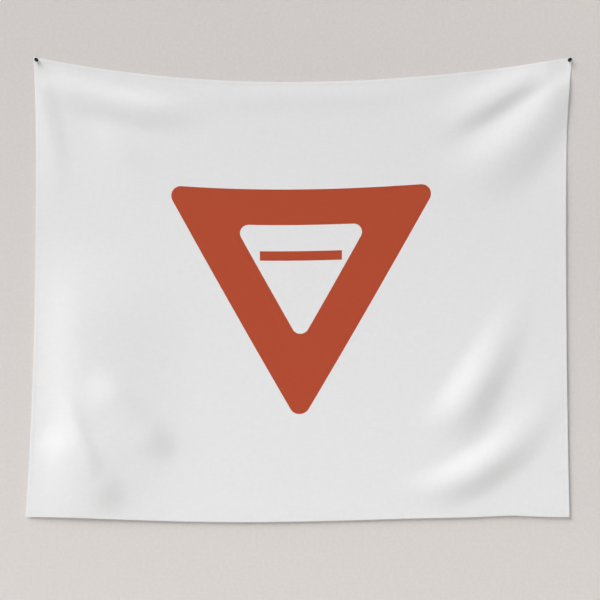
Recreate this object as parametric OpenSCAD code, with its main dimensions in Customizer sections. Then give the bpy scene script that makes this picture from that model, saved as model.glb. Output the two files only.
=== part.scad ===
// Printed wall tapestry, hung from two push pins.
// Millimetres, +Z up, the wall is the plane y = 0 and the room is on the -Y side.
// The origin lies on the wall, midway between the two pins.

/* [Cloth] */
// Width of the hemmed cloth, laid flat
cloth_w = 1524; // [1260:1:1830]
// Height of the hemmed cloth, laid flat
cloth_h = 1295; // [1070:1:1560]
// Thickness of one layer of cloth
cloth_t = 0.3; // [0.2:0.05:0.5]

/* [Hang] */
// How far the middle of the top edge hangs below its ends
top_sag = 70; // [20:1:110]
// How far the bottom edge droops below a straight line
bottom_droop = 15; // [0:1:25]
// How much each half of the cloth is drawn in at the top corners
corner_draw = 8; // [6:0.5:14]
// How much each half of the cloth is drawn in by its folds, half-way down
side_draw = 23.5; // [10:0.5:28]
// How far the cloth stands off the wall where it hangs flat
lift = 6; // [4:0.5:9]
// How much deeper or shallower than drawn the folds are
fold_depth = 1; // [0.5:0.1:1.3]

/* [Hems] */
// Width of the hem turned to the back
hem_w = 12; // [9:0.5:16]
// Distance of the seam from the turned edge of the cloth
seam_inset = 10; // [6:0.5:13]
// Width of a sewing thread laid in its seam
thread_w = 0.5; // [0.3:0.1:0.8]
// Thickness of a sewing thread laid in its seam
thread_t = 0.25; // [0.15:0.05:0.4]

/* [Pinned corners] */
// Distance of each pin from both edges of its corner
pin_inset = 9; // [7:0.5:12]
// Width of the corner that a pin holds to the wall
corner_w = 50; // [36:1:70]
// Height of the corner that a pin holds to the wall
corner_h = 42; // [40:1:60]

/* [Print] */
// Width of the printed ring across its top, measured to its square corners
ring_w = 790; // [460:1:930]
// Height of the printed ring, measured to its square corners
ring_h = 693; // [420:1:840]
// Distance of the ring's top from the top edge of the cloth
ring_top = 316; // [290:1:340]
// Rounding of the ring's two upper corners
ring_top_r = 30; // [5:1:40]
// Rounding of the ring's lower corner
ring_tip_r = 30; // [5:1:60]
// Width of the white triangle inside the ring, to its square corners
inner_w = 386; // [200:1:430]
// Height of the white triangle inside the ring, to its square corners
inner_h = 347; // [180:1:400]
// Distance of the white triangle's top from the ring's top
inner_drop = 105; // [80:1:140]
// Rounding of the white triangle's corners
inner_r = 25; // [5:1:45]
// Width of the plain bar printed inside the white triangle
bar_w = 236; // [120:1:250]
// Height of the plain bar
bar_h = 28; // [15:1:40]
// Distance of the bar's middle from the ring's top
bar_drop = 196; // [170:1:215]

/* [Pins] */
// Diameter of the flange that presses on the cloth
flange_d = 10; // [7:0.1:12]
// Thickness of the flange at its rim
flange_t = 1.2; // [0.8:0.1:2]
// Diameter of the disc that is pressed with the thumb
disc_d = 9.6; // [7:0.1:12]
// Thickness of the thumb disc at its rim
disc_t = 1.6; // [1:0.1:2.4]
// Diameter of the waist between flange and disc
waist_d = 5.2; // [4:0.1:6.5]
// Length of the moulded head
head_l = 12.4; // [10:0.1:15]
// Diameter of the steel needle
needle_d = 1.1; // [0.9:0.05:1.3]
// Length of needle that stands out of the head
needle_out = 10.5; // [8:0.1:13]
// Length of needle that is moulded into the head
needle_in = 8; // [5:0.1:8.5]
// How much thicker the needle's root is, where the head grips it
root_swell = 0.1; // [0.06:0.01:0.2]
// Length of the needle's ground point
point_l = 3; // [1.5:0.1:4]
// Clearance round the needle in its hole in the cloth
hole_gap = 0.05; // [0.03:0.01:0.09]

/* [Care label] */
// Width of the blank label that hangs behind the cloth from the top seam
label_w = 30; // [20:1:45]
// Length of the label below the top hem
label_l = 55; // [35:1:80]
// Thickness of the label's satin ribbon
label_t = 0.2; // [0.15:0.05:0.3]
// Distance of the label's middle from the cloth's left edge
label_in = 190; // [120:1:260]

/* [Hidden] */

cloth_colour = "#E4E3E1";
print_colour = "#AE4F37";
pin_colour = "#1B1A1A";
steel_colour = "#B9BABC";

slack = 0.3;                    // gap between cloth pieces that only lie near each other
film_t = 0.1;                   // thickness of the printed ink
film_gap = 0.02;                // ink, thread and ribbon lie this clear of the cloth
hem_t = 2 * cloth_t;            // the edge is turned twice, so two layers lie behind the cloth
wall_gap = 0.2;                 // the pinned corners clear the wall by this
back_y = wall_gap + hem_t;      // distance of the pinned cloth's back from the wall
half_w = cloth_w / 2;
top_z = pin_inset + 0.4;        // the corners of the cloth rise this far above the pins
pin_x = half_w - corner_draw - pin_inset;
columns = 38;
rows = 32;

// Fold: start and end, bow of its middle, half width at its start and at its end, how many times as
// wide it is on the side that it bows to, height, where along it is highest, share of level top.
// Starts and ends are shares of the flat cloth: across from its middle, down from its top.
folds = [
    [[0.96, 0.22], [0.515, 0.835], 54, 50, 120, 1, 12, 0.8, 0.05],
    [[1.02, 0.38], [0.4, 0.965], 190, 50, 116, 1, 12, 0.8, 0.05],
    [[-0.84, 0.36], [-0.8, 1.06], 10, 160, 160, 2.2, 13, 0.5, 0.35],
    [[-0.8, 0.68], [-0.46, 0.86], 0, 85, 85, 1, 9, 0.5, 0.35],
    [[-0.95, 0.8], [-0.64, 0.985], 0, 95, 95, 1, 9, 0.5, 0.35],
    [[-0.94, 0.66], [-0.73, 0.93], 6, 44, 44, 0.8, 2.6, 0.6, 0.3],
    [[-1.02, 0.045], [-0.35, 0.08], -12, 84, 84, 0.8, 7.5, 0.45, 0.3],
    [[-1.02, -0.02], [-0.9, 0.36], 12, 50, 60, 1, 2.5, 0.45, 0],
    [[-0.8, 0.1], [-0.56, 0.235], 0, 65, 65, 1, 3.5, 0.5, 0],
    [[1.01, -0.02], [0.51, 0.24], 54, 66, 104, 2.1, 10, 0.36, 0.3],
    [[0.99, -0.005], [0.45, 0.135], 8, 84, 110, 0.7, 8.5, 0.45, 0.1],
    [[-0.5, 0.035], [0.5, 0.035], 0, 60, 60, 1, 1.6, 0.5, 0.4]
];

// 0 up to lo, 1 from hi, smooth between
function ease(x, lo, hi) = let (k = min(1, max(0, (x - lo) / (hi - lo)))) k * k * (3 - 2 * k);
// Share of a fold's height at a share p of its length, highest and level around the share peak
function along(p, peak, level) = (p <= 0 || p >= 1) ? 0 : let (
    past = max(0, abs(pow(p, ln(0.5) / ln(peak)) - 0.5) - level / 2) / (1 - level)
) pow(cos(180 * past), 2);
// Share of a fold's height at the share q of its half width
function across(q) = abs(q) >= 1 ? 0 : pow(1 - q * q, 3);
function fold_height(u, v, f) = let (
    start = [f[0][0] * half_w, f[0][1] * cloth_h],
    run = [f[1][0] * half_w, f[1][1] * cloth_h] - start,
    long = norm(run),
    way = run / long,
    from = [u, v] - start,
    p = (from * way) / long,
    side = from * [way[1], -way[0]] - f[2] * 4 * p * (1 - p),
    width = (f[3] + (f[4] - f[3]) * p) * (side > 0 ? f[5] : 1)
) f[6] * along(p, f[7], f[8]) * across(side / width);
function total(list) = list * [for (x = list) 1];
function pin_range(u, v) = norm([abs(u) - (half_w - pin_inset), v - pin_inset]);
// Distance outside the ring's square-cornered outline, less than 0 inside it
function print_range(u, v) = let (slope = ring_w / 2 / ring_h) max(ring_top - v,
    (abs(u) - slope * (ring_top + ring_h - v)) / norm([1, slope]));
// Distance of the cloth from the pinned plane: nothing at the pins, lift at the print, folds between.
// It is never less than nothing, because the wall stops the cloth.
held_r = norm([corner_w, corner_h]);
lifted_r = norm([half_w - pin_inset - ring_w / 2, ring_top - pin_inset]) - 30;
function relief(u, v) = max(0, lift * ease(pin_range(u, v), held_r, lifted_r)
    + fold_depth * ease(pin_range(u, v), held_r, 2 * held_r) * ease(print_range(u, v), 20, 90)
        * total([for (f = folds) fold_height(u, v, f)]));

// Where a point of the flat cloth hangs: [x, z]
function half_at(t) = half_w - side_draw + (side_draw - corner_draw) * exp(-10 * t)
    + (side_draw - 3) * pow(t, 3);
function middle_at(t) = -5.5 * (1 - exp(-10 * t)) - 9.7 * pow(t, 3);
function top_at(s) = -top_sag * (1 - s * s) - 2.4 * (1 - pow(s, 12)) + 2.2 * sin(180 * s);
function bottom_at(s) = -cloth_h + pin_inset
    - bottom_droop * pow(max(0, 1 - s * s), 2.2) * (0.85 - s) + 4 * exp(-pow((s - 0.78) / 0.1, 2));
function hang(u, v) = let (s = u / half_w, t = v / cloth_h) [
    middle_at(t) + s * half_at(t),
    top_z + top_at(s) * (1 - t) + bottom_at(s) * t
];
// The same in space, depth millimetres in front of the cloth's back face
function place(u, v, depth) = let (at = hang(u, v)) [at[0], -back_y - relief(u, v) - depth, at[1]];

// Grid lines: the hem, seam and corner lines, with even steps between
function spread(lo, hi, n) = [for (i = [0 : n]) lo + (hi - lo) * i / n];
edge_lines = [0, seam_inset, hem_w];
us_middle = spread(-half_w + corner_w, half_w - corner_w, columns);
us = concat([for (e = edge_lines) -half_w + e], us_middle, [for (i = [2 : -1 : 0]) half_w - edge_lines[i]]);
vs_side = concat(spread(corner_h, cloth_h - hem_w, rows), [cloth_h - seam_inset, cloth_h]);
vs = concat(edge_lines, vs_side);

// Closed slab of the hung cloth over grid lines a (across) and b (down), between two depths.
// The cells of the two pinned corners are left out where notched is set.
module slab(a, b, low, high, notched = false) {
    na = len(a);
    nb = len(b);
    points = [for (d = [low, high], v = b, u = a) place(u, v, d)];
    function solid(i, j) = i >= 0 && j >= 0 && i < na - 1 && j < nb - 1
        && !(notched && j < 3 && (i < 3 || i > na - 5));
    function back(i, j) = j * na + i;
    function front(i, j) = na * nb + back(i, j);
    cells = [for (j = [0 : nb - 2], i = [0 : na - 2]) if (solid(i, j)) [i, j]];
    function wall(p, q) = [[back(p[0], p[1]), back(q[0], q[1]), front(q[0], q[1])],
        [back(p[0], p[1]), front(q[0], q[1]), front(p[0], p[1])]];
    faces = [for (c = cells) let (i = c[0], j = c[1]) each concat(
        [[front(i, j), front(i + 1, j), front(i + 1, j + 1)],
            [front(i, j), front(i + 1, j + 1), front(i, j + 1)],
            [back(i, j), back(i + 1, j + 1), back(i + 1, j)],
            [back(i, j), back(i, j + 1), back(i + 1, j + 1)]],
        solid(i, j - 1) ? [] : wall([i, j], [i + 1, j]),
        solid(i, j + 1) ? [] : wall([i + 1, j + 1], [i, j + 1]),
        solid(i - 1, j) ? [] : wall([i, j + 1], [i, j]),
        solid(i + 1, j) ? [] : wall([i + 1, j], [i + 1, j + 1])
    )];
    polyhedron(points, faces);
}

// A flat outline of [x, z] points, as thick as from one distance off the wall to another
module upright(outline, near, far) {
    translate([0, -near, 0])
        rotate([90, 0, 0])
            linear_extrude(far - near)
                polygon(outline);
}

// ---- cloth ----

module cloth_panel() {
    color(cloth_colour)
        slab(us, vs, 0, cloth_t, notched = true);
}

// Corner of the cloth that stays pinned: side is -1 left, 1 right
module corner(side) {
    w = corner_w - slack;
    h = corner_h - slack;
    function edge(u, v) = hang(side * (half_w - u), v);
    sheet = [edge(0, 0), edge(w, 0), edge(w, h), edge(0, h)];
    turned = [edge(0, 0), edge(w, 0), edge(w, hem_w), edge(hem_w, hem_w), edge(hem_w, h), edge(0, h)];
    color(cloth_colour)
        difference() {
            union() {
                upright(sheet, back_y, back_y + cloth_t);
                upright(turned, wall_gap, back_y);
            }
            translate([side * pin_x, 0, 0])
                rotate([90, 0, 0])
                    cylinder(h = 2 * (back_y + cloth_t), d = needle_d + 2 * hole_gap, $fn = 48);
        }
}

module corner_left() { corner(-1); }

module corner_right() { corner(1); }

// ---- hems: two turned layers behind the edge of the cloth ----

module hem(a, b) {
    color(cloth_colour)
        slab(a, b, -slack - hem_t, -slack);
}

module hem_top() { hem(us_middle, edge_lines); }

module hem_bottom() { hem(us_inner, [for (e = [hem_w, seam_inset, 0]) cloth_h - e]); }

module hem_left() { hem([for (e = edge_lines) -half_w + e], vs_side); }

module hem_right() { hem([for (e = [hem_w, seam_inset, 0]) half_w - e], vs_side); }

us_inner = concat([-half_w + hem_w + slack], us_middle, [half_w - hem_w - slack]);

// ---- seams: the needle thread in front and the bobbin thread behind ----

module threads(a, b) {
    front = cloth_t + film_gap * 2;
    behind = -slack - hem_t - film_gap * 2;
    color(cloth_colour) {
        slab(a, b, front, front + thread_t);
        slab(a, b, behind - thread_t, behind);
    }
}

function thread_lines(at) = [at - thread_w / 2, at + thread_w / 2];

module seam_top() { threads(us_middle, thread_lines(seam_inset)); }

module seam_bottom() { threads(us_inner, thread_lines(cloth_h - seam_inset)); }

module seam_left() { threads(thread_lines(-half_w + seam_inset), vs_side); }

module seam_right() { threads(thread_lines(half_w - seam_inset), vs_side); }

// ---- print: a ring with three rounded corners, and a plain bar inside it ----

print_near = back_y + lift + cloth_t + film_gap;

// Points of the corner at c between its neighbours a and b, rounded to radius r
function rounded(a, c, b, r) = let (
    to_a = (a - c) / norm(a - c),
    to_b = (b - c) / norm(b - c),
    half_angle = acos(to_a * to_b) / 2,
    middle = (to_a + to_b) / norm(to_a + to_b),
    centre = c + middle * r / sin(half_angle),
    first = c + to_a * r / tan(half_angle) - centre,
    last = c + to_b * r / tan(half_angle) - centre,
    bend = 180 - 2 * half_angle
) [for (k = [0 : 8]) centre + first * sin(bend * (1 - k / 8)) / sin(bend) + last * sin(bend * k / 8) / sin(bend)];
// Points a, b and 7 evenly between them, without b
function stretch(a, b) = [for (k = [0 : 7]) a + (b - a) * k / 8];
function last_of(list) = list[len(list) - 1];
// Closed outline of the flat downward triangle with its top at v, hung as the cloth hangs
function triangle(w, h, v, r_top, r_tip) = let (
    l = [-w / 2, v],
    r = [w / 2, v],
    tip = [0, v + h],
    arcs = [rounded(tip, l, r, r_top), rounded(l, r, tip, r_top), rounded(r, tip, l, r_tip)],
    flat = [for (i = [0 : 2]) each concat(arcs[i], [for (k = [1 : 7])
        last_of(arcs[i]) + (arcs[(i + 1) % 3][0] - last_of(arcs[i])) * k / 8])]
) [for (p = flat) hang(p[0], p[1])];

module print_ring() {
    color(print_colour)
        difference() {
            upright(triangle(ring_w, ring_h, ring_top, ring_top_r, ring_tip_r),
                print_near, print_near + film_t);
            upright(triangle(inner_w, inner_h, ring_top + inner_drop, inner_r, inner_r),
                print_near - film_t, print_near + 2 * film_t);
        }
}

module print_bar() {
    top = ring_top + bar_drop - bar_h / 2;
    corners = [[-bar_w / 2, top], [bar_w / 2, top], [bar_w / 2, top + bar_h], [-bar_w / 2, top + bar_h]];
    flat = [for (i = [0 : 3]) each stretch(corners[i], corners[(i + 1) % 4])];
    color(print_colour)
        upright([for (p = flat) hang(p[0], p[1])], print_near, print_near + film_t);
}

// ---- blank care label, its head caught in the top seam ----

module care_label() {
    at = -half_w + label_in;
    behind = -slack - hem_t - thread_t - 4 * film_gap;
    color("white")
        slab(spread(at - label_w / 2, at + label_w / 2, 2), spread(seam_inset, hem_w + label_l, 4),
            behind - label_t, behind);
}

// ---- push pins: side is -1 left, 1 right ----

seat = back_y + cloth_t + 2 * film_gap;    // the flange presses the cloth here

// Profile of the moulded head, [radius, height above its seat]
waist_low = flange_t + 1.2;
waist_high = head_l - disc_t - 1.6;
disc_y = head_l - disc_t;
rim = 0.4;
function arc(cx, cy, rx, ry, from, to) = [for (k = [0 : 6])
    let (w = from + (to - from) * k / 6) [cx + rx * cos(w), cy + ry * sin(w)]];
head_profile = concat(
    [[0, 0], [flange_d / 2 - rim, 0]],
    arc(flange_d / 2 - rim, rim, rim, rim, -80, 0),
    arc(flange_d / 2 - rim, flange_t - rim, rim, rim, 0, 80),
    arc(flange_d / 2 - rim - 0.3, waist_low, flange_d / 2 - rim - 0.3 - waist_d / 2,
        waist_low - flange_t, -90, -180),
    arc(disc_d / 2 - rim - 0.3, waist_high, disc_d / 2 - rim - 0.3 - waist_d / 2,
        disc_y - waist_high, 180, 90),
    arc(disc_d / 2 - rim, disc_y + rim, rim, rim, -80, 0),
    arc(disc_d / 2 - rim, head_l - rim, rim, rim, 0, 80),
    [[0, head_l]]
);

// Turns what stands along +Z so that it points out of the wall at a pin
module at_pin(side) {
    translate([side * pin_x, -seat, 0])
        rotate([90, 0, 0])
            children();
}

// The needle from the wall to its end inside the head, in a slow taper
module needle_root() {
    translate([0, 0, -seat])
        cylinder(h = seat + needle_in, d1 = needle_d, d2 = needle_d + root_swell, $fn = 48);
}

module pin_head(side) {
    color(pin_colour)
        at_pin(side)
            difference() {
                rotate_extrude($fn = 64)
                    polygon(head_profile);
                needle_root();
            }
}

module pin_needle(side) {
    color(steel_colour)
        at_pin(side) {
            needle_root();
            translate([0, 0, point_l - needle_out])
                cylinder(h = needle_out - point_l - seat, d = needle_d, $fn = 48);
            translate([0, 0, -needle_out])
                cylinder(h = point_l, d1 = 0.1, d2 = needle_d, $fn = 48);
        }
}

module pin_left_head() { pin_head(-1); }

module pin_left_needle() { pin_needle(-1); }

module pin_right_head() { pin_head(1); }

module pin_right_needle() { pin_needle(1); }

cloth_panel();
corner_left();
corner_right();
hem_top();
hem_bottom();
hem_left();
hem_right();
seam_top();
seam_bottom();
seam_left();
seam_right();
print_ring();
print_bar();
care_label();
pin_left_head();
pin_left_needle();
pin_right_head();
pin_right_needle();
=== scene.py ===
import math

import bpy
import numpy as np
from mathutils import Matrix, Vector
from mathutils.geometry import delaunay_2d_cdt


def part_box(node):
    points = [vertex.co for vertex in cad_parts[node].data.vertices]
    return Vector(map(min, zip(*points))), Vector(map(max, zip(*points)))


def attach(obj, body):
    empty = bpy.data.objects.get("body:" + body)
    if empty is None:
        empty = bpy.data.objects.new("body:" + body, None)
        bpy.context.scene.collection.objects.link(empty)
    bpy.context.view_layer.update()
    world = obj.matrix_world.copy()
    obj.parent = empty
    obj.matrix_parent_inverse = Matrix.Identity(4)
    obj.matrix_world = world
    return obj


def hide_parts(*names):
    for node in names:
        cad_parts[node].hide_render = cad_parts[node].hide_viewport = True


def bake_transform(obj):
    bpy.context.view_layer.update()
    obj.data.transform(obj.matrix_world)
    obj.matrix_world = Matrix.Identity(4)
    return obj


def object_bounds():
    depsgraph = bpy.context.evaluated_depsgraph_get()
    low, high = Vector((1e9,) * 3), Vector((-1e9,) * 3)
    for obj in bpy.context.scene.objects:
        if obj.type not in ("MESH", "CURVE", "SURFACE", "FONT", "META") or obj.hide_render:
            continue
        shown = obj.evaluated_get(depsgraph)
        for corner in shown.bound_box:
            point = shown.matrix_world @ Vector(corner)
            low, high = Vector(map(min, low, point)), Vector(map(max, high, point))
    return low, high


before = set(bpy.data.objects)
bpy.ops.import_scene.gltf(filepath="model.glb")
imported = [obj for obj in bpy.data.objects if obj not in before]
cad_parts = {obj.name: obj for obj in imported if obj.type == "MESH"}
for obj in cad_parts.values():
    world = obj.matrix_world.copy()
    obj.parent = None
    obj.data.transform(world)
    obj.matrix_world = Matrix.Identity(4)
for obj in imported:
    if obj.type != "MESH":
        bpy.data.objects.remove(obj)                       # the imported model: bodies, nodes, joints, record
cadBox = [list(corner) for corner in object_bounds()]
print("frame loaded,", len(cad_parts), "nodes")

mm = 0.001                              # shapes are worked out in millimetres, meshes are in metres


def linearColour(hexText):
    # sRGB hex to linear red, green, blue, alpha
    shares = [int(hexText[i:i + 2], 16) / 255 for i in (1, 3, 5)]
    return [c / 12.92 if c <= 0.04045 else ((c + 0.055) / 1.055) ** 2.4 for c in shares] + [1.0]


def addNode(tree, kind, settings=None, links=None):
    # Adds one node. settings maps a property or an input to its value, links maps an input to (node, output)
    node = tree.nodes.new(kind)
    for name, value in (settings or {}).items():
        if isinstance(name, str) and hasattr(node, name):
            setattr(node, name, value)
        else:
            node.inputs[name].default_value = value
    for name, (source, output) in (links or {}).items():
        tree.links.new(source.outputs[output], node.inputs[name])
    return node


def newMaterial(name):
    # An empty node material and its output node
    material = bpy.data.materials.new(name)
    material.use_nodes = True
    material.node_tree.nodes.clear()
    return material, addNode(material.node_tree, "ShaderNodeOutputMaterial")


def addPiece(name, points, faces, materials, flat=None, smooth=True):
    # A mesh piece from an array of points in metres and a list of faces. flat holds each point's place on the
    # flat cloth in metres, kept as the UV map Flat.
    mesh = bpy.data.meshes.new(name)
    mesh.from_pydata(points.tolist(), [], [list(face) for face in faces])
    mesh.polygons.foreach_set("use_smooth", [smooth] * len(mesh.polygons))
    if flat is not None:
        corners = np.zeros(len(mesh.loops), int)
        mesh.loops.foreach_get("vertex_index", corners)
        mesh.uv_layers.new(name="Flat").uv.foreach_set("vector", flat[corners].astype(np.float32).ravel())
    for material in materials:
        mesh.materials.append(material)
    mesh.update()
    piece = bpy.data.objects.new(name, mesh)
    bpy.context.scene.collection.objects.link(piece)
    return piece


def gridFaces(rows, columns, closed=False):
    # Quads of a grid whose points run along the columns first. closed joins the last column to the first.
    steps = columns if closed else columns - 1
    row, column = np.meshgrid(np.arange(rows - 1), np.arange(steps), indexing="ij")
    here = row * columns + column
    right = row * columns + (column + 1) % columns
    return np.stack([here, right, right + columns, here + columns], -1).reshape(-1, 4)


def ease(x, low, high):
    # 0 up to low, 1 from high, and 3k^2 - 2k^3 between them
    k = np.clip((x - low) / (high - low), 0, 1)
    return k * k * (3 - 2 * k)


# The cloth laid flat, and how it hangs from its two pins
cloth = {
    "width": 1524.0,                    # hemmed size, laid flat
    "height": 1295.0,
    "thickness": 0.3,
    "cell": 8.0,                        # mesh step in the middle of the cloth
}
hang = {
    "topSag": 70.0,                     # the top edge's middle hangs this far below its ends
    "bottomDroop": 15.0,                # the foot hangs up to about this much lower, mostly on the left
    "droopEnd": 0.85,                   # and level with its ends at this share of the right half
    "topDip": 2.4,                      # and the whole edge between them dips this much more
    "topTilt": 2.2,                     # its left half hangs this much lower, its right half this much higher
    "footBump": 4.0,                    # the foot rises here, under the folds on the right
    "footBumpAt": 0.78,                 # share of the half width, as is its spread
    "footBumpSpread": 0.1,
    "cornerDraw": 8.0,                  # each half is drawn in this much at the top
    "sideDraw": 23.5,                   # nearly this much further down, where its folds take up width
    "footDraw": 3.0,                    # and this much at the foot
    "drawRate": 10.0,                   # the corners' own draw fades as e to minus this times the share down
    "leftShift": 5.5,                   # the middle stands this far left below the corners
    "footShift": 9.7,                   # and this much further at the foot
    "pinInset": 9.0,                    # the pins stand this far in from both edges
    "abovePins": 0.4,                   # with the inset, the height of the cloth's corners above the pins
    "pinned": 0.8,                      # distance of the cloth's back from the wall at the pins
    "plainRadius": 12.0,                # no fold comes nearer to a pin than this
    "foldedRadius": 80.0,               # and from here on the folds have their whole height
    "heldRadius": 65.0,                 # the lift starts this far from each pin
    "liftedRadius": 449.0,              # and is whole from here on
    "lift": 6.0,                        # how far the flat middle stands off the wall
}
# Each fold: start and end as shares of the half width and of the height, bow of the middle, half width at the
# start and at the end, how many times as wide it is on the side that it bows to, height, where along it is
# highest, and the share of its length that its top stays level
folds = [
    ((0.96, 0.22), (0.515, 0.835), 54, 50, 120, 1.0, 12.0, 0.80, 0.05),
    ((1.02, 0.38), (0.40, 0.965), 190, 50, 116, 1.0, 12.0, 0.80, 0.05),
    ((-0.84, 0.36), (-0.80, 1.06), 10, 160, 160, 2.2, 13.0, 0.5, 0.35),
    ((-0.80, 0.68), (-0.46, 0.86), 0, 85, 85, 1.0, 9.0, 0.5, 0.35),
    ((-0.95, 0.80), (-0.64, 0.985), 0, 95, 95, 1.0, 9.0, 0.5, 0.35),
    ((-0.94, 0.66), (-0.73, 0.93), 6, 44, 44, 0.8, 2.6, 0.6, 0.3),
    ((-1.02, 0.045), (-0.35, 0.08), -12, 84, 84, 0.8, 7.5, 0.45, 0.3),
    ((-1.02, -0.02), (-0.90, 0.36), 12, 56, 64, 1.0, 4.0, 0.4, 0.0),
    ((-0.80, 0.10), (-0.56, 0.235), 0, 65, 65, 1.0, 3.5, 0.5, 0.0),
    ((1.01, 0.01), (0.52, 0.265), 54, 105, 145, 1.2, 10.5, 0.36, 0.3),
    ((0.99, -0.005), (0.45, 0.13), 8, 84, 110, 0.7, 8.0, 0.45, 0.1),
    ((-0.5, 0.035), (0.5, 0.035), 0, 60, 60, 1.0, 1.6, 0.5, 0.4),
]
hem = {
    "width": 12.0,
    "seam": 10.0,                       # stitch line, from the turned edge
    "puff": 0.08,                       # the turned edge swells this much in front
    "groove": 0.08,                     # and the stitches pull the cloth in this much
    "stitchDent": 1.2,                  # half width of the groove along the stitches
    "ripple": 0.1,                      # the sewing draws the edge into faint ripples
    "rippleReach": 16.0,                # which fade out over this distance from the edge
    "ripples": ((9.1, 0.0, 1.0), (5.3, 1.3, 0.7), (15.7, 2.1, 0.6)),    # length over 2 pi, phase and share
    "pressedRadius": 8.0,               # this far from each pin the sewn edge is pressed flat
    "looseRadius": 40.0,                # and from here on it is free
}
halfWidth = cloth["width"] / 2


def foldHeight(u, v, fold):
    # Along the fold: a hump skewed to its peak, cos(pi far)^2, where far is the distance past its level top,
    # a half at both ends. Across it: (1 - q^2)^3 of the share q of its half width, which changes evenly.
    start, end, bow, startWidth, endWidth, lean, height, peak, level = fold
    scale = np.array([halfWidth, cloth["height"]])
    start, run = scale * start, scale * end - scale * start
    length = np.hypot(*run)
    way = run / length
    p = ((u - start[0]) * way[0] + (v - start[1]) * way[1]) / length
    side = (u - start[0]) * way[1] - (v - start[1]) * way[0] - bow * 4 * p * (1 - p)
    k = np.clip(p, 1e-9, 1) ** (math.log(0.5) / math.log(peak))
    far = np.clip(np.abs(k - 0.5) - level / 2, 0, None) / (1 - level)
    width = (startWidth + (endWidth - startWidth) * np.clip(p, 0, 1)) * np.where(side > 0, lean, 1)
    across = np.clip(1 - (side / width) ** 2, 0, None) ** 3
    return np.where((p > 0) & (p < 1), height * np.cos(np.pi * far) ** 2 * across, 0)


def edgeDistance(u, v):
    return np.minimum(halfWidth - np.abs(u), np.minimum(v, cloth["height"] - v))


def relief(u, v):
    # Distance of the cloth from the pinned plane: nothing at the pins, then the lift, the folds and the sewn
    # edge. The edge swells in half a sine wave up to the stitches, and a bell-shaped groove follows them.
    pinRange = np.hypot(np.abs(u) - (halfWidth - hang["pinInset"]), v - hang["pinInset"])
    height = hang["lift"] * ease(pinRange, hang["heldRadius"], hang["liftedRadius"])
    folded = ease(pinRange, hang["plainRadius"], hang["foldedRadius"])
    height = height + folded * sum(foldHeight(u, v, fold) for fold in folds)
    e = edgeDistance(u, v)
    near = np.clip(e / hem["seam"], 0, 1)
    dent = np.exp(-((e - hem["seam"]) / hem["stitchDent"]) ** 2)
    sewn = hem["puff"] * np.sin(np.pi * near) - hem["groove"] * dent
    rippled = sum(share * np.sin((u + v) / long + phase) for long, phase, share in hem["ripples"])
    sewn = sewn + hem["ripple"] * rippled * np.exp(-e / hem["rippleReach"])
    loose = ease(pinRange, hem["pressedRadius"], hem["looseRadius"])
    return np.maximum(height, 0) + loose * sewn     # the wall stops the cloth


def hungPoints(u, v, depth):
    # Where points of the flat cloth hang, in metres. u is from the middle, v down from the top, depth in
    # front of the cloth's back. Each row is drawn in from its flat width, most of all below the corners and
    # less with the cube of the share down. Each column runs evenly from the sagging top, a parabola, to the
    # bottom edge.
    s, t = u / halfWidth, v / cloth["height"]
    settled = np.exp(-hang["drawRate"] * t)
    half = halfWidth - hang["sideDraw"] + (hang["sideDraw"] - hang["cornerDraw"]) * settled
    half = half + (hang["sideDraw"] - hang["footDraw"]) * t ** 3
    middle = -hang["leftShift"] * (1 - settled) - hang["footShift"] * t ** 3
    inside = np.clip(1 - s * s, 0, None)
    top = -hang["topSag"] * (1 - s * s) - hang["topDip"] * (1 - s ** 12) + hang["topTilt"] * np.sin(np.pi * s)
    bump = np.exp(-((s - hang["footBumpAt"]) / hang["footBumpSpread"]) ** 2)
    droop = hang["bottomDroop"] * inside ** 2.2 * (hang["droopEnd"] - s)
    bottom = hang["pinInset"] - cloth["height"] - droop + hang["footBump"] * bump
    x = middle + s * half
    y = -hang["pinned"] - relief(u, v) - depth
    z = hang["pinInset"] + hang["abovePins"] + top * (1 - t) + bottom * t
    return np.stack([x, y, z], -1) * mm


# The print's outlines, in the flat cloth's own measures
printing = {
    "ringWidth": 790.0, "ringHeight": 693.0,    # to the square corners
    "ringTop": 316.0, "ringTopRadius": 30.0, "ringTipRadius": 30.0,
    "innerWidth": 386.0, "innerHeight": 347.0, "innerDrop": 105.0, "innerRadius": 25.0,
    "barWidth": 236.0, "barHeight": 28.0, "barDrop": 196.0, "barRadius": 0.6,
    "needleHole": 1.2,                          # diameter
    "step": 6.0,                                # mesh step along the outlines
}


def roundedOutline(corners, radii):
    # A closed outline with an arc of its own radius in each corner and evenly spaced points on the straights
    arcs = []
    for i, radius in enumerate(radii):
        before, corner, after = (np.array(corners[(i + k) % len(corners)], float) for k in (-1, 0, 1))
        a, b = ((end - corner) / np.linalg.norm(end - corner) for end in (before, after))
        half = math.acos(float(a @ b)) / 2
        centre = corner + (a + b) / np.linalg.norm(a + b) * radius / math.sin(half)
        first, last = (corner + w * radius / math.tan(half) - centre for w in (a, b))
        bend = math.pi - 2 * half
        k = np.linspace(0, 1, max(3, int(radius * bend / 3)))[:, None]
        arcs.append(centre + (first * np.sin(bend * (1 - k)) + last * np.sin(bend * k)) / math.sin(bend))
    outline = []
    for i, arc in enumerate(arcs):
        outline.append(arc)
        start, end = arc[-1], arcs[(i + 1) % len(arcs)][0]
        count = int(np.linalg.norm(end - start) / printing["step"])
        outline.append(start + (end - start) * np.linspace(0, 1, count + 1)[1:-1, None])
    return np.concatenate(outline)


def triangleOutline(width, height, top, topRadius, tipRadius):
    corners = [(-width / 2, top), (width / 2, top), (0, top + height)]
    return roundedOutline(corners, [topRadius, topRadius, tipRadius])


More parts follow.
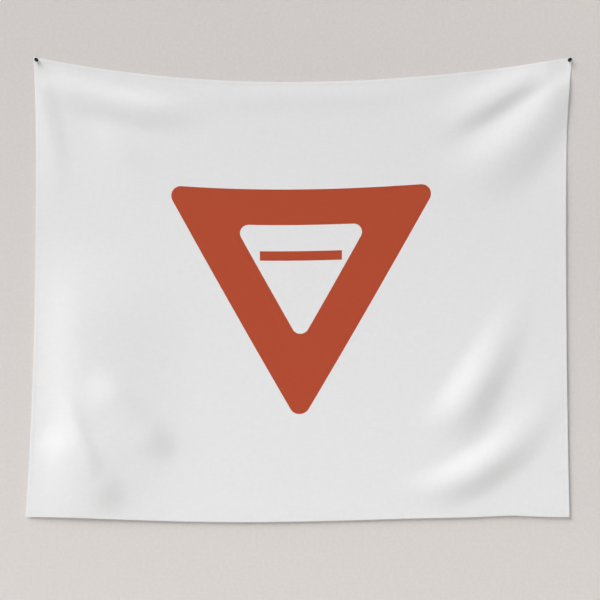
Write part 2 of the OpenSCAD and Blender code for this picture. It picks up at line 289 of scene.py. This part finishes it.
def insideOutline(u, v, outline):
    # True where a point has an odd number of the outline's sides to its right
    inside = np.zeros(len(u), bool)
    for (u0, v0), (u1, v1) in zip(outline, np.roll(outline, -1, 0)):
        if v0 != v1:
            inside ^= ((v0 > v) != (v1 > v)) & (u < u0 + (v - v0) * (u1 - u0) / (v1 - v0))
    return inside


ringTop = printing["ringTop"]
ringOutside = triangleOutline(printing["ringWidth"], printing["ringHeight"], ringTop,
                              printing["ringTopRadius"], printing["ringTipRadius"])
ringInside = triangleOutline(printing["innerWidth"], printing["innerHeight"],
                             ringTop + printing["innerDrop"],
                             printing["innerRadius"], printing["innerRadius"])
barSide, barTop = printing["barWidth"] / 2, ringTop + printing["barDrop"] - printing["barHeight"] / 2
barFoot = barTop + printing["barHeight"]
barCorners = [(-barSide, barTop), (barSide, barTop), (barSide, barFoot), (-barSide, barFoot)]
barOutline = roundedOutline(barCorners, [printing["barRadius"]] * 4)
angles = np.linspace(0, 2 * np.pi, 12, endpoint=False)
needleHole = printing["needleHole"] / 2 * np.stack([np.cos(angles), np.sin(angles)], -1)
pinSpots = [np.array([side * (halfWidth - hang["pinInset"]), hang["pinInset"]]) for side in (-1, 1)]
holes = [needleHole + spot for spot in pinSpots]


weave = {
    "yarn": 1.2,                        # mm from yarn to yarn. Real ones are 0.3 mm apart, too fine to show
    "slub": 3.0,                        # mm, thick places in the yarns, drawn as coarse as the yarns
    "slubRun": 45.0,
    "mottle": 14.0,                     # mm, clouds left by the dye and the iron
    "depth": 0.15,                      # mm, height of the yarns
}


def bandScale(spacing):
    # Scale of a wave texture whose bands are this many millimetres apart: pi / (10 spacing)
    return math.pi / (10 * spacing * mm)


def wovenMaterial(name, colour, roughness, contrast, bump):
    # Plain-woven polyester: matt yarns, a faint sheen at glancing angles, and slubs along warp and weft that
    # give the eye a linen-like grain
    material, output = newMaterial(name)
    tree = material.node_tree
    flat = addNode(tree, "ShaderNodeUVMap", {"uv_map": "Flat"})
    along, across = 1 / (weave["slubRun"] * mm), 1 / (weave["slub"] * mm)
    grains = []
    for scale in ((along, across, 1), (across, along, 1)):
        stretched = addNode(tree, "ShaderNodeMapping", {"Scale": scale}, {"Vector": (flat, "UV")})
        grains.append(addNode(tree, "ShaderNodeTexNoise", {"Scale": 1.0, "Detail": 3.0, "Roughness": 0.6},
                              {"Vector": (stretched, "Vector")}))
    cloud = addNode(tree, "ShaderNodeTexNoise", {"Scale": 1 / (weave["mottle"] * mm), "Detail": 3.0},
                    {"Vector": (flat, "UV")})
    grain = addNode(tree, "ShaderNodeMath", {"operation": "ADD"},
                    {0: (grains[0], "Fac"), 1: (grains[1], "Fac")})
    mix = addNode(tree, "ShaderNodeMath", {"operation": "ADD"}, {0: (grain, "Value"), 1: (cloud, "Fac")})
    bands = []
    for direction in ("X", "Y"):
        bands.append(addNode(tree, "ShaderNodeTexWave",
                             {"bands_direction": direction, "Scale": bandScale(weave["yarn"]),
                              "Distortion": 1.2, "Detail": 1.0, "Detail Scale": 0.4},
                             {"Vector": (flat, "UV")}))
    yarns = addNode(tree, "ShaderNodeMath", {"operation": "MULTIPLY"},
                    {0: (bands[0], "Fac"), 1: (bands[1], "Fac")})
    cover = addNode(tree, "ShaderNodeMath", {"operation": "ADD"}, {0: (grain, "Value"), 1: (yarns, "Value")})
    shade = addNode(tree, "ShaderNodeMapRange", {"From Min": 0.9, "From Max": 2.1,
                                                 "To Min": 1 - contrast, "To Max": 1 + contrast},
                    {"Value": (mix, "Value")})
    dyed = addNode(tree, "ShaderNodeMix", {"data_type": "RGBA", "blend_type": "MULTIPLY", 0: 1.0,
                                           6: linearColour(colour)}, {7: (shade, "Result")})
    raised = addNode(tree, "ShaderNodeBump", {"Strength": bump, "Distance": weave["depth"] * mm},
                     {"Height": (cover, "Value")})
    surface = addNode(tree, "ShaderNodeBsdfPrincipled",
                      {"Roughness": roughness, "IOR": 1.5, "Specular IOR Level": 0.25,
                       "Sheen Weight": 0.12, "Sheen Roughness": 0.5},
                      {"Base Color": (dyed, 2), "Normal": (raised, "Normal")})
    tree.links.new(surface.outputs["BSDF"], output.inputs["Surface"])
    return material


whiteCloth = wovenMaterial("white_woven_polyester", "#E8E8E9", 0.85, 0.03, 0.6)
redDye = wovenMaterial("rust_red_dyed_polyester", "#B4482A", 0.82, 0.045, 0.6)
redDyeBack = wovenMaterial("dye_seen_from_the_back", "#D9AFA2", 0.85, 0.03, 0.5)
sewingThread = wovenMaterial("spun_polyester_thread", "#EDEDEB", 0.7, 0.02, 0.2)
print("materials made")


# The sheet is one cut of cloth with the print dyed into it
def gridLines(length, start):
    # Lines this many millimetres in from each end, close across the sewing, then even steps of about a cell
    close = np.array([0, 1.2, 3, 5.5, 8, 9.2, 10, 10.8, 12, 15])
    steps = int((length - 2 * close[-1]) / cloth["cell"])
    middle = np.linspace(close[-1], length - close[-1], steps + 1)
    return start + np.concatenate([close[:-1], middle, (length - close[:-1])[::-1]])


def cutSheet():
    # Triangles over the flat cloth whose sides follow the outlines of the print and of the needle holes. Grid
    # points nearer to an outline than about half a step are left out, so that no triangle is a sliver.
    u, v = np.meshgrid(gridLines(cloth["width"], -halfWidth), gridLines(cloth["height"], 0))
    points = np.stack([u.ravel(), v.ravel()], -1)
    edges = []
    outlines = [ringOutside, ringInside, barOutline, *holes]
    reach = cloth["cell"] + 1
    for outline in outlines:
        gap = 0.45 * np.median(np.linalg.norm(outline - np.roll(outline, 1, 0), axis=1))
        low, high = outline.min(0) - reach, outline.max(0) + reach
        close = np.flatnonzero(((points > low) & (points < high)).all(1))
        distance = np.linalg.norm(points[close][:, None] - outline[None], axis=2).min(1)
        points = np.delete(points, close[distance < gap], 0)
    for outline in outlines:
        index = len(points) + np.arange(len(outline))
        edges += np.stack([index, np.roll(index, -1)], -1).tolist()
        points = np.concatenate([points, outline])
    made = delaunay_2d_cdt([Vector(p) for p in points.tolist()], edges, [], 0, 1e-4, False)
    return np.array([tuple(p) for p in made[0]]), np.array(made[2])


flatPoints, triangles = cutSheet()
middleU, middleV = flatPoints[triangles].mean(1).T
inHole = insideOutline(middleU, middleV, holes[0]) | insideOutline(middleU, middleV, holes[1])
inRing = insideOutline(middleU, middleV, ringOutside) & ~insideOutline(middleU, middleV, ringInside)
inBar = insideOutline(middleU, middleV, barOutline)


def sheetPiece(name, chosen, front, back):
    # The chosen triangles as a closed piece as thick as the cloth: a front, a back and a rim between them
    used, corners = np.unique(triangles[chosen], return_inverse=True)
    corners = corners.reshape(-1, 3)[:, ::-1]
    u, v = flatPoints[used].T
    count = len(used)
    sides = np.concatenate([corners[:, [0, 1]], corners[:, [1, 2]], corners[:, [2, 0]]])
    key, seen = sides[:, 0] * count + sides[:, 1], sides[:, 1] * count + sides[:, 0]
    border = sides[~np.isin(key, seen)]
    rim = np.stack([border[:, 1], border[:, 0], border[:, 0] + count, border[:, 1] + count], -1)
    points = np.concatenate([hungPoints(u, v, cloth["thickness"]), hungPoints(u, v, 0.0)])
    faces = corners.tolist() + (corners[:, ::-1] + count).tolist() + rim.tolist()
    piece = addPiece(name, points, faces, [front, back], np.tile(np.stack([u, -v], -1) * mm, (2, 1)))
    slots = np.repeat([0, 1, 0], [len(corners), len(corners), len(rim)])
    piece.data.polygons.foreach_set("material_index", slots)
    ends = np.zeros(len(piece.data.edges) * 2, int)
    piece.data.edges.foreach_get("vertices", ends)
    ends = np.sort(ends.reshape(-1, 2), 1)
    onBorder = np.sort(np.concatenate([border, border + count]), 1)
    sharp = np.isin(ends[:, 0] * 2 * count + ends[:, 1], onBorder[:, 0] * 2 * count + onBorder[:, 1])
    piece.data.attributes.new("sharp_edge", "BOOLEAN", "EDGE").data.foreach_set("value", sharp)
    return piece


sheet = sheetPiece("cloth_sheet", ~(inHole | inRing | inBar), whiteCloth, whiteCloth)
ring = sheetPiece("printed_ring", inRing, redDye, redDyeBack)
bar = sheetPiece("printed_bar", inBar, redDye, redDyeBack)
print("sheet cut:", len(triangles), "triangles")


# Each hem is the edge turned twice, a ribbon of cloth folded behind the sheet
def onEdge(side, along, inset):
    # Flat place of a point at a share along one side of the cloth, between mitred ends, inset from its edge
    length = cloth["width"] if side in ("top", "bottom") else cloth["height"]
    run = inset + along * (length - 2 * inset)
    if side == "top":
        return run - halfWidth, inset
    if side == "bottom":
        return run - halfWidth, cloth["height"] - inset
    if side == "left":
        return inset - halfWidth, run
    return halfWidth - inset, run


def hemProfile():
    # Inset and depth of the ribbon's middle: a half circle round the edge, in along the back to the hem's
    # width, then a half circle under and back out between the layers. outer and inner are the turns' radii.
    t = cloth["thickness"]
    outer, inner = 1.15 * t, 0.58 * t
    turn = np.radians(np.linspace(90, 270, 9))
    first = np.stack([outer * np.cos(turn), t / 2 - outer + outer * np.sin(turn)], -1)
    low = first[-1, 1]
    flatRun = np.stack([[2.5, 5, 8, 10], [low] * 4], -1)
    turn = np.radians(np.linspace(-90, 90, 7))
    second = np.stack([hem["width"] - inner + inner * np.cos(turn), low + inner + inner * np.sin(turn)], -1)
    back = np.stack([[9, 6, 3, 1], [low + 2 * inner] * 4], -1)
    return np.concatenate([first, flatRun, second, back])


hemBack = hemProfile()[:, 1].min()      # depth of the hem's layer that is nearest the wall


def hemPiece(side):
    profile = hemProfile()
    length = cloth["width"] if side in ("top", "bottom") else cloth["height"]
    count = int(length / cloth["cell"]) + 1
    along, inset = np.meshgrid(np.linspace(0, 1, count), profile[:, 0], indexing="ij")
    depth = np.broadcast_to(profile[:, 1], along.shape)
    u, v = (np.broadcast_to(w, along.shape).ravel() for w in onEdge(side, along, inset))
    faces = gridFaces(count, len(profile))
    if side in ("top", "right"):
        faces = faces[:, ::-1]
    piece = addPiece("hem_" + side + "_turned", hungPoints(u, v, depth.ravel()), faces, [whiteCloth],
                     np.stack([u, -v], -1) * mm)
    thick = piece.modifiers.new("Solidify", "SOLIDIFY")
    thick.thickness = cloth["thickness"] * mm
    thick.offset = 0
    return piece


sides = ("top", "bottom", "left", "right")
hems = {side: hemPiece(side) for side in sides}
print("hems turned")


# Each seam is a lockstitch, a row of short threads on each face of the cloth
stitching = {
    "length": 3.0,                      # one stitch and its gap
    "thread": 0.45,                     # thread diameter
    "cover": 0.86,                      # share of the stitch's length that the thread shows
    "stand": 0.6,                       # its middle stands this share of its radius off the cloth
}


def seamPiece(side):
    # Each stitch is a thread that rises out of the cloth and dips back: a five-sided tube whose ends close.
    # share and swell are the places along it and its radius there.
    length = (cloth["width"] if side in ("top", "bottom") else cloth["height"]) - 2 * hem["seam"]
    count = int(length / stitching["length"])
    share = np.array([-0.5, -0.42, -0.2, 0.2, 0.42, 0.5]) * stitching["cover"]
    swell = np.array([0.02, 0.6, 1, 1, 0.6, 0.02]) * stitching["thread"] / 2
    sectors = 5
    turn = np.radians(np.arange(sectors) * 360 / sectors)
    stitch = np.arange(count)[:, None, None]
    along = ((stitch + 0.5 + share[None, :, None]) / count) * np.ones(sectors)
    swell = swell[None, :, None] * np.ones((count, 1, 1))
    inset = hem["seam"] + swell * np.cos(turn)
    t = cloth["thickness"]
    points, flats, faces = [], [], []
    single = gridFaces(len(share), sectors, closed=True)
    base = single[None] + np.arange(count)[:, None, None] * len(share) * sectors
    behind = hemBack - t / 2
    for level, flip in ((t, 1), (behind, -1)):
        depth = level + flip * swell * (stitching["stand"] + np.sin(turn))
        u, v = (np.broadcast_to(w, along.shape).ravel() for w in onEdge(side, along, inset))
        points.append(hungPoints(u, v, depth.ravel()))
        flats.append(np.stack([u, -v], -1) * mm)
        turned = base.reshape(-1, 4) + (len(points) - 1) * count * len(share) * sectors
        faces.append(turned[:, ::-1] if (flip < 0) != (side in ("top", "right")) else turned)
    piece = addPiece("seam_" + side + "_stitches", np.concatenate(points), np.concatenate(faces),
                     [sewingThread], np.concatenate(flats))
    return piece


seams = {side: seamPiece(side) for side in sides}
print("seams sewn")


# Blank care label, sewn in behind the top hem
label = {
    "width": 30.0, "length": 55.0, "thickness": 0.2,
    "fromLeft": 190.0,
    "behind": 0.6,                      # distance behind the hem
    "cup": 0.25,                        # the free end is cupped this much across its width
    "cupWidth": 9.0,                    # the cup's wave length over 2 pi
    "rib": 1.571,                       # mm from rib to rib, drawn as coarse as it needs to show
}


def labelPiece():
    material, output = newMaterial("white_satin_ribbon")
    tree = material.node_tree
    # Satin: long floats of bright yarn, smoother and glossier than the cloth, with fine ribs across it
    place = addNode(tree, "ShaderNodeUVMap", {"uv_map": "Flat"})
    ribs = addNode(tree, "ShaderNodeTexWave",
                   {"bands_direction": "Y", "Scale": bandScale(label["rib"]), "Distortion": 0.6},
                   {"Vector": (place, "UV")})
    tone = addNode(tree, "ShaderNodeMapRange", {"To Min": 0.94, "To Max": 1.0}, {"Value": (ribs, "Fac")})
    dyed = addNode(tree, "ShaderNodeMix", {"data_type": "RGBA", "blend_type": "MULTIPLY", 0: 1.0,
                                           6: linearColour("#F4F4F2")}, {7: (tone, "Result")})
    raised = addNode(tree, "ShaderNodeBump", {"Strength": 0.2, "Distance": 0.05 * mm},
                     {"Height": (ribs, "Fac")})
    surface = addNode(tree, "ShaderNodeBsdfPrincipled", {"Roughness": 0.38, "Specular IOR Level": 0.5},
                      {"Base Color": (dyed, 2), "Normal": (raised, "Normal")})
    tree.links.new(surface.outputs["BSDF"], output.inputs["Surface"])
    rows, columns = 28, 13
    across = np.linspace(-0.5, 0.5, columns) * label["width"]
    down = np.linspace(hem["seam"], hem["width"] + label["length"], rows)
    v, a = np.meshgrid(down, across, indexing="ij")
    u = label["fromLeft"] - halfWidth + a
    free = ease(v, hem["width"], hem["width"] + label["length"])
    cupped = label["cup"] * np.cos(a / label["cupWidth"]) * free
    depth = hemBack - label["behind"] - cupped
    points = hungPoints(u.ravel(), v.ravel(), depth.ravel())
    piece = addPiece("care_label_ribbon", points, gridFaces(rows, columns), [material],
                     np.stack([u.ravel(), -v.ravel()], -1) * mm)
    thick = piece.modifiers.new("Solidify", "SOLIDIFY")
    thick.thickness = label["thickness"] * mm
    thick.offset = 0
    return piece


ribbon = labelPiece()


# Push pins, turned shapes that stand out of the wall along -Y
pin = {
    "flange": 10.0, "flangeEdge": 1.2, "flangeFillet": 1.2,
    "disc": 9.6, "discEdge": 1.6, "discFillet": 1.6,
    "shoulder": 0.3,                    # the fillets stop this far short of the rims
    "waist": 5.2, "length": 12.4,
    "rim": 0.4,                         # rounding of the rims
    "dish": 0.35,                       # the thumb disc is dished this deep
    "needle": 1.1, "rootSwell": 0.1, "needleOut": 10.5, "needleIn": 8.0, "point": 3.0,
    "clear": 0.04,                      # the flange lies this clear of the cloth
}


def arcPoints(cx, cy, rx, ry, start, end, count=9):
    w = np.radians(np.linspace(start, end, count))
    return np.stack([cx + rx * np.cos(w), cy + ry * np.sin(w)], -1)


def headProfile():
    # Radius and height above the seat, from the middle of the flange to the middle of the thumb disc. A
    # quarter ellipse joins each of them to the waist, and the disc's top is a shallow parabola.
    rim, flange, disc, waist = pin["rim"], pin["flange"] / 2, pin["disc"] / 2, pin["waist"] / 2
    flangeEnd, discEnd = flange - rim - pin["shoulder"], disc - rim - pin["shoulder"]
    under = pin["length"] - pin["discEdge"]
    low, high = pin["flangeEdge"] + pin["flangeFillet"], under - pin["discFillet"]
    middle = disc - rim
    dished = np.linspace(middle, 0, 12)[1:]
    return np.concatenate([
        [[pin["needle"] / 2, 0], [flange - rim, 0]],
        arcPoints(flange - rim, rim, rim, rim, -80, 0, 6),
        arcPoints(flange - rim, pin["flangeEdge"] - rim, rim, rim, 0, 80, 6),
        arcPoints(flangeEnd, low, flangeEnd - waist, low - pin["flangeEdge"], -90, -180),
        arcPoints(discEnd, high, discEnd - waist, under - high, 180, 90),
        arcPoints(disc - rim, under + rim, rim, rim, -80, 0, 6),
        arcPoints(disc - rim, pin["length"] - rim, rim, rim, 0, 80, 6),
        np.stack([dished, pin["length"] - pin["dish"] * (1 - (dished / middle) ** 2)], -1),
    ])


def turnedPiece(name, profile, material, at, sectors=48):
    # A profile of radius and height carried round the axis that points out of the wall, closed at both ends
    turn = np.linspace(0, 2 * np.pi, sectors, endpoint=False)
    radius, height = np.maximum(profile[:, 0], 1e-3)[:, None], profile[:, 1][:, None]
    x, z = radius * np.cos(turn), radius * np.sin(turn)
    y = -height * np.ones_like(x)
    points = (np.stack([x, y, z], -1).reshape(-1, 3) + np.array(at)) * mm
    faces = gridFaces(len(profile), sectors, closed=True).tolist()
    last = (len(profile) - 1) * sectors
    faces = [list(range(sectors))[::-1]] + faces + [list(range(last, last + sectors))]
    return addPiece(name, points, faces, [material])


def glossyPlastic():
    # Polystyrene moulded in black: a glossy skin with a few fine scuffs where thumbs press it
    material, output = newMaterial("black_moulded_polystyrene")
    tree = material.node_tree
    place = addNode(tree, "ShaderNodeTexCoord")
    scuffs = addNode(tree, "ShaderNodeTexNoise", {"Scale": 900.0, "Detail": 4.0, "Roughness": 0.65},
                     {"Vector": (place, "Object")})
    rough = addNode(tree, "ShaderNodeMapRange",
                    {"From Min": 0.35, "From Max": 0.7, "To Min": 0.16, "To Max": 0.34},
                    {"Value": (scuffs, "Fac")})
    tone = addNode(tree, "ShaderNodeMapRange", {"To Min": 0.85, "To Max": 1.2}, {"Value": (scuffs, "Fac")})
    dyed = addNode(tree, "ShaderNodeMix", {"data_type": "RGBA", "blend_type": "MULTIPLY", 0: 1.0,
                                           6: linearColour("#1C1A1A")}, {7: (tone, "Result")})
    skin = addNode(tree, "ShaderNodeBump", {"Strength": 0.08, "Distance": 0.02 * mm},
                   {"Height": (scuffs, "Fac")})
    surface = addNode(tree, "ShaderNodeBsdfPrincipled", {"IOR": 1.59},
                      {"Base Color": (dyed, 2), "Roughness": (rough, "Result"), "Normal": (skin, "Normal")})
    tree.links.new(surface.outputs["BSDF"], output.inputs["Surface"])
    return material


def drawnSteel():
    # Nickelled steel wire: drawing lines run along the needle
    material, output = newMaterial("drawn_steel_wire")
    tree = material.node_tree
    place = addNode(tree, "ShaderNodeTexCoord")
    lengthwise = addNode(tree, "ShaderNodeMapping", {"Scale": (12000.0, 250.0, 12000.0)},
                         {"Vector": (place, "Object")})
    lines = addNode(tree, "ShaderNodeTexNoise", {"Scale": 1.0, "Detail": 2.0},
                    {"Vector": (lengthwise, "Vector")})
    rough = addNode(tree, "ShaderNodeMapRange", {"To Min": 0.18, "To Max": 0.36}, {"Value": (lines, "Fac")})
    surface = addNode(tree, "ShaderNodeBsdfPrincipled",
                      {"Base Color": linearColour("#C3C3C4"), "Metallic": 1.0},
                      {"Roughness": (rough, "Result")})
    tree.links.new(surface.outputs["BSDF"], output.inputs["Surface"])
    return material


plastic, steel = glossyPlastic(), drawnSteel()
needleRadius = pin["needle"] / 2
rootRadius = needleRadius + pin["rootSwell"] / 2
seat = hang["pinned"] + cloth["thickness"] + pin["clear"]
# Radius and height from the root in the head, down the wire and in two steps along the ground point
needleProfile = np.array([
    [0, pin["needleIn"]], [rootRadius, pin["needleIn"]], [needleRadius, -seat],
    [needleRadius, pin["point"] - pin["needleOut"]],
    [needleRadius * 0.55, pin["point"] * 0.4 - pin["needleOut"]], [0.03, -pin["needleOut"]]])[::-1]
pins = {}
for name in ("left", "right"):
    low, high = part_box(f"pin_{name}_needle")
    at = ((low[0] + high[0]) / 2 / mm, -seat, (low[2] + high[2]) / 2 / mm)
    pins[name] = (turnedPiece(f"pin_{name}_moulded", headProfile(), plastic, at),
                  turnedPiece(f"pin_{name}_wire", needleProfile, steel, at, 24))
print("pins turned")


# Pieces baked in place or tied to the body that they move with, and the model's nodes that they replace
# hidden
for piece in (sheet, *hems.values(), *seams.values(), ribbon):
    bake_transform(piece)
for piece in (ring, bar):
    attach(piece, "panel")
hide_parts("cloth_panel", "corner_left", "corner_right")
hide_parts("print_ring")
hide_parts("print_bar")
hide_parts("care_label")
for side in sides:
    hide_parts("hem_" + side)
    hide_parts("seam_" + side)
for name, (head, needle) in pins.items():
    for piece, node, finish in ((head, "head", "pin_plastic"), (needle, "needle", "pin_steel")):
        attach(piece, "pin_" + name)
        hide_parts(f"pin_{name}_{node}")
print("pieces tied to the bodies")


# Wall, floor and lights
room = {
    "wall": "#D9D4D1", "floor": "#CFCECC", "air": "#FFFFFF",
    "airStrength": 0.21,
    "floorBelow": 1.1,                  # m, below the cloth
    "keyFrom": (-0.56, -0.44, 0.70), "keySoftness": 45.0, "keyStrength": 3.7,
    "fillPlace": (-1.3, -1.7, -0.15), "fillSize": 1.4, "fillPower": 2.6,
    "lowFrom": (0.6, -0.75, -0.5), "lowSoftness": 14.0, "lowStrength": 0.53,
    "backPlace": (1.2, 3.0, 1.0), "backSize": 2.0, "backPower": 60.0,
}


def plasterMaterial(name, colour, grain):
    # Matt emulsion on rolled plaster, whose stipple has this grain in millimetres. The side away from the
    # room lets the eye through, so that the back of what hangs on the wall can be seen.
    material, output = newMaterial(name)
    tree = material.node_tree
    place = addNode(tree, "ShaderNodeTexCoord")
    stipple = addNode(tree, "ShaderNodeTexNoise",
                      {"Scale": 1 / (grain * mm), "Detail": 6.0, "Roughness": 0.72},
                      {"Vector": (place, "Object")})
    shade = addNode(tree, "ShaderNodeMapRange",
                    {"From Min": 0.3, "From Max": 0.7, "To Min": 0.95, "To Max": 1.04},
                    {"Value": (stipple, "Fac")})
    painted = addNode(tree, "ShaderNodeMix", {"data_type": "RGBA", "blend_type": "MULTIPLY", 0: 1.0,
                                              6: linearColour(colour)}, {7: (shade, "Result")})
    raised = addNode(tree, "ShaderNodeBump", {"Strength": 0.5, "Distance": 1.0 * mm},
                     {"Height": (stipple, "Fac")})
    paint = addNode(tree, "ShaderNodeBsdfPrincipled", {"Roughness": 0.9, "Specular IOR Level": 0.2},
                    {"Base Color": (painted, 2), "Normal": (raised, "Normal")})
    clear = addNode(tree, "ShaderNodeBsdfTransparent")
    facing = addNode(tree, "ShaderNodeNewGeometry")
    shown = addNode(tree, "ShaderNodeMixShader", {},
                    {0: (facing, "Backfacing"), 1: (paint, "BSDF"), 2: (clear, "BSDF")})
    tree.links.new(shown.outputs["Shader"], output.inputs["Surface"])
    return material


def addPlane(name, corners, material):
    plane = addPiece(name, np.array(corners, float), [(0, 1, 2, 3)], [material], smooth=False)
    return plane


floorZ = cadBox[0][2] - room["floorBelow"]
wall = addPlane("wall", [(-4, 0, floorZ), (4, 0, floorZ), (4, 0, 3), (-4, 0, 3)],
                plasterMaterial("wall_plaster", room["wall"], 9.0))
wall.visible_shadow = False             # so that light from behind reaches the back of the cloth
addPlane("floor", [(-4, -5, floorZ), (4, -5, floorZ), (4, 4, floorZ), (-4, 4, floorZ)],
         plasterMaterial("floor_paint", room["floor"], 25.0))


def addLight(name, kind, place, energy):
    # A light that faces the middle of the cloth
    light = bpy.data.lights.new(name, kind)
    light.energy = energy
    lamp = bpy.data.objects.new(name, light)
    lamp.location = Vector((0, 0, (cadBox[0][2] + cadBox[1][2]) / 2)) + Vector(place)
    lamp.rotation_euler = (-Vector(place)).to_track_quat("-Z", "Y").to_euler()
    bpy.context.scene.collection.objects.link(lamp)
    return light


addLight("key", "SUN", room["keyFrom"], room["keyStrength"]).angle = math.radians(room["keySoftness"])
addLight("low", "SUN", room["lowFrom"], room["lowStrength"]).angle = math.radians(room["lowSoftness"])
addLight("fill", "AREA", room["fillPlace"], room["fillPower"]).size = room["fillSize"]
addLight("back", "AREA", room["backPlace"], room["backPower"]).size = room["backSize"]
world = bpy.data.worlds.new("soft_air")
world.use_nodes = True
world.node_tree.nodes["Background"].inputs["Color"].default_value = linearColour(room["air"])
world.node_tree.nodes["Background"].inputs["Strength"].default_value = room["airStrength"]
bpy.context.scene.world = world

viewer = {"place": (-0.0085, -4.2, -0.671), "lens": 90.1, "sensor": 36.0}     # level and straight on
camera = bpy.data.objects.new("camera", bpy.data.cameras.new("camera"))
camera.location = viewer["place"]
camera.rotation_euler = (math.pi / 2, 0, 0)
camera.data.lens = viewer["lens"]
camera.data.sensor_width = viewer["sensor"]
bpy.context.scene.collection.objects.link(camera)
bpy.context.scene.camera = camera
bpy.context.scene.view_settings.view_transform = "Standard"
print("stage set")
